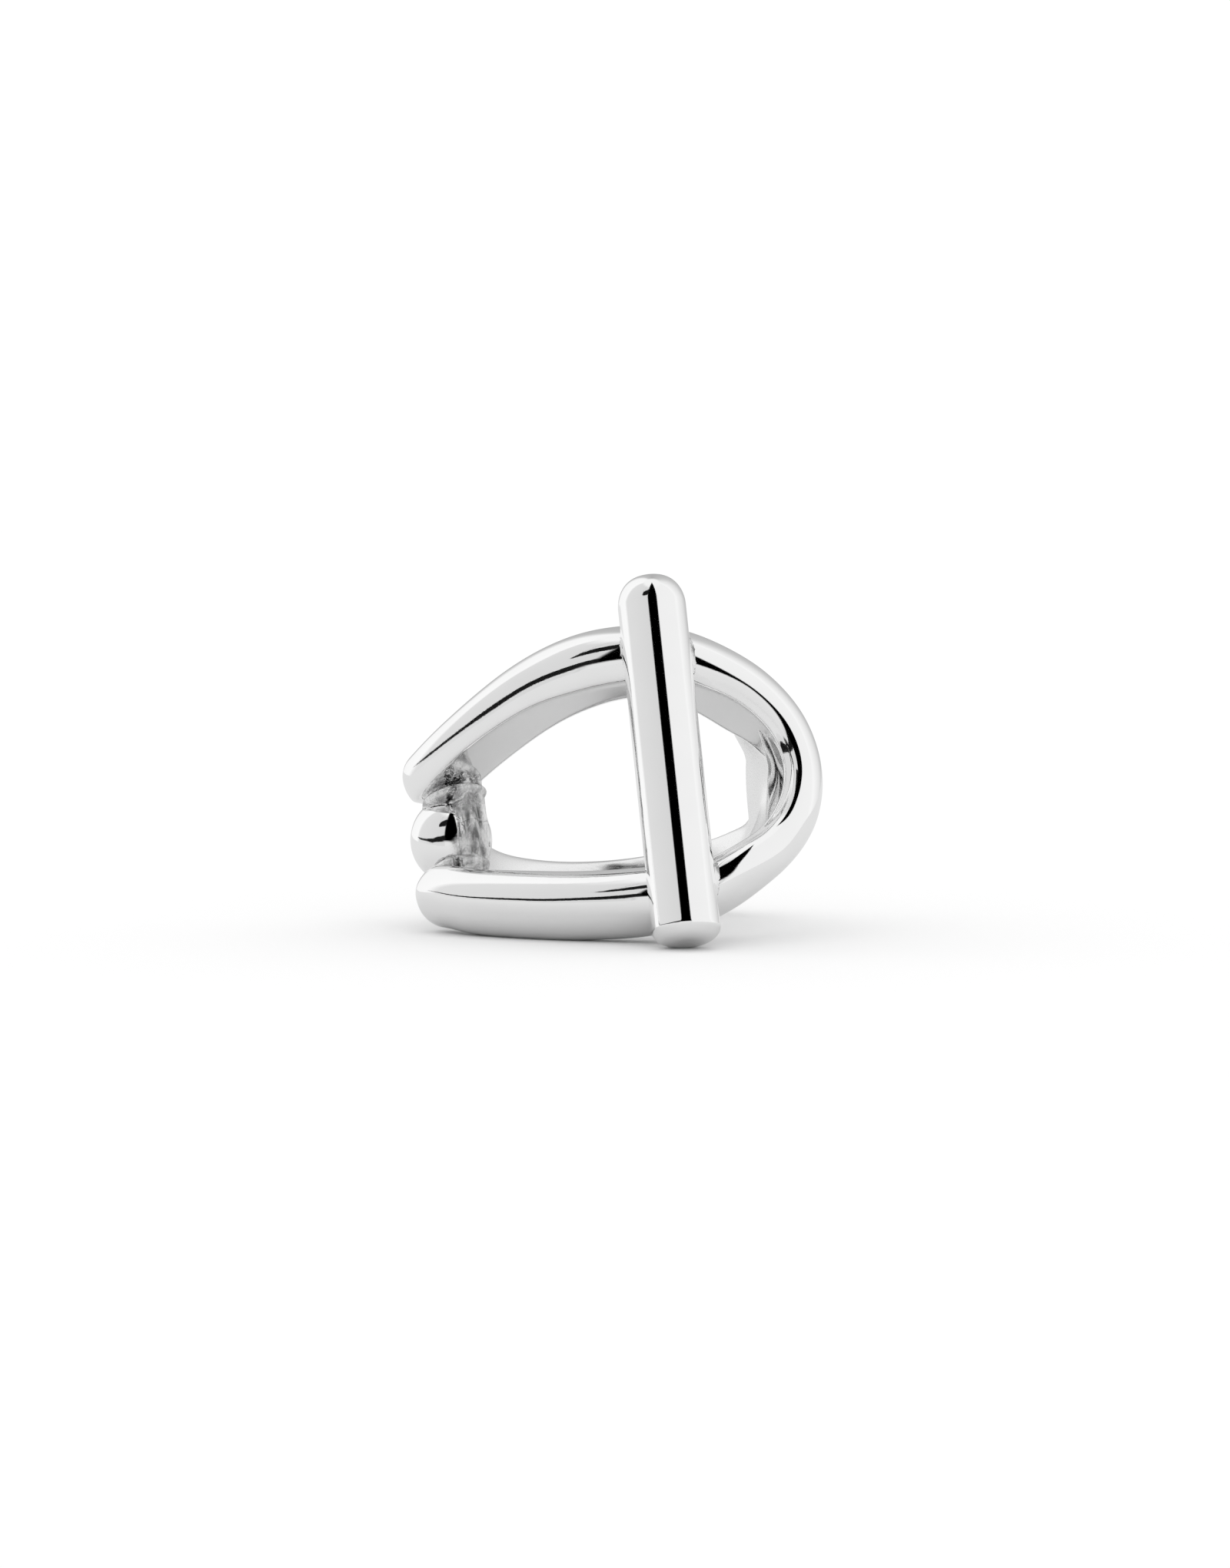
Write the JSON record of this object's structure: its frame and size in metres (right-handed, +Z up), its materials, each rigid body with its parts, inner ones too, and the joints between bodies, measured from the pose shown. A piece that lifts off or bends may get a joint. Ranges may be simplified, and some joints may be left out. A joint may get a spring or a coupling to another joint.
{
  "type": "toggle finger ring",
  "caption": "Silver finger ring: a straight toggle bar soldered across a horseshoe loop, a ball held between the loop's ends, and a narrow shank round the back.",
  "frame": {"origin": "centre of the bounding box's bottom face, on the table that the ring lies on", "axes": "+Z up from the table, -Y out of the ring's face towards the viewer, +X to the viewer's right; the finger's axis leans back from +Z towards +Y"},
  "size_m": [0.0274, 0.03, 0.0237],
  "materials": {
    "polished_silver": "mirror polish with faint polishing lines",
    "satin_silver": "softer polish inside the finger hole",
    "rough_silver": "rough, darkened solder left in the corners"
  },
  "bodies": {
    "root": {"front_loop": "polished_silver", "toggle_bar": "polished_silver", "ball": "polished_silver", "shank": "satin_silver", "bar_solder_upper_left": "rough_silver", "bar_solder_upper_right": "rough_silver", "bar_solder_lower_left": "rough_silver", "bar_solder_lower_right": "rough_silver", "ball_solder_upper": "rough_silver", "ball_solder_lower": "rough_silver"}
  },
  "joints": []
}
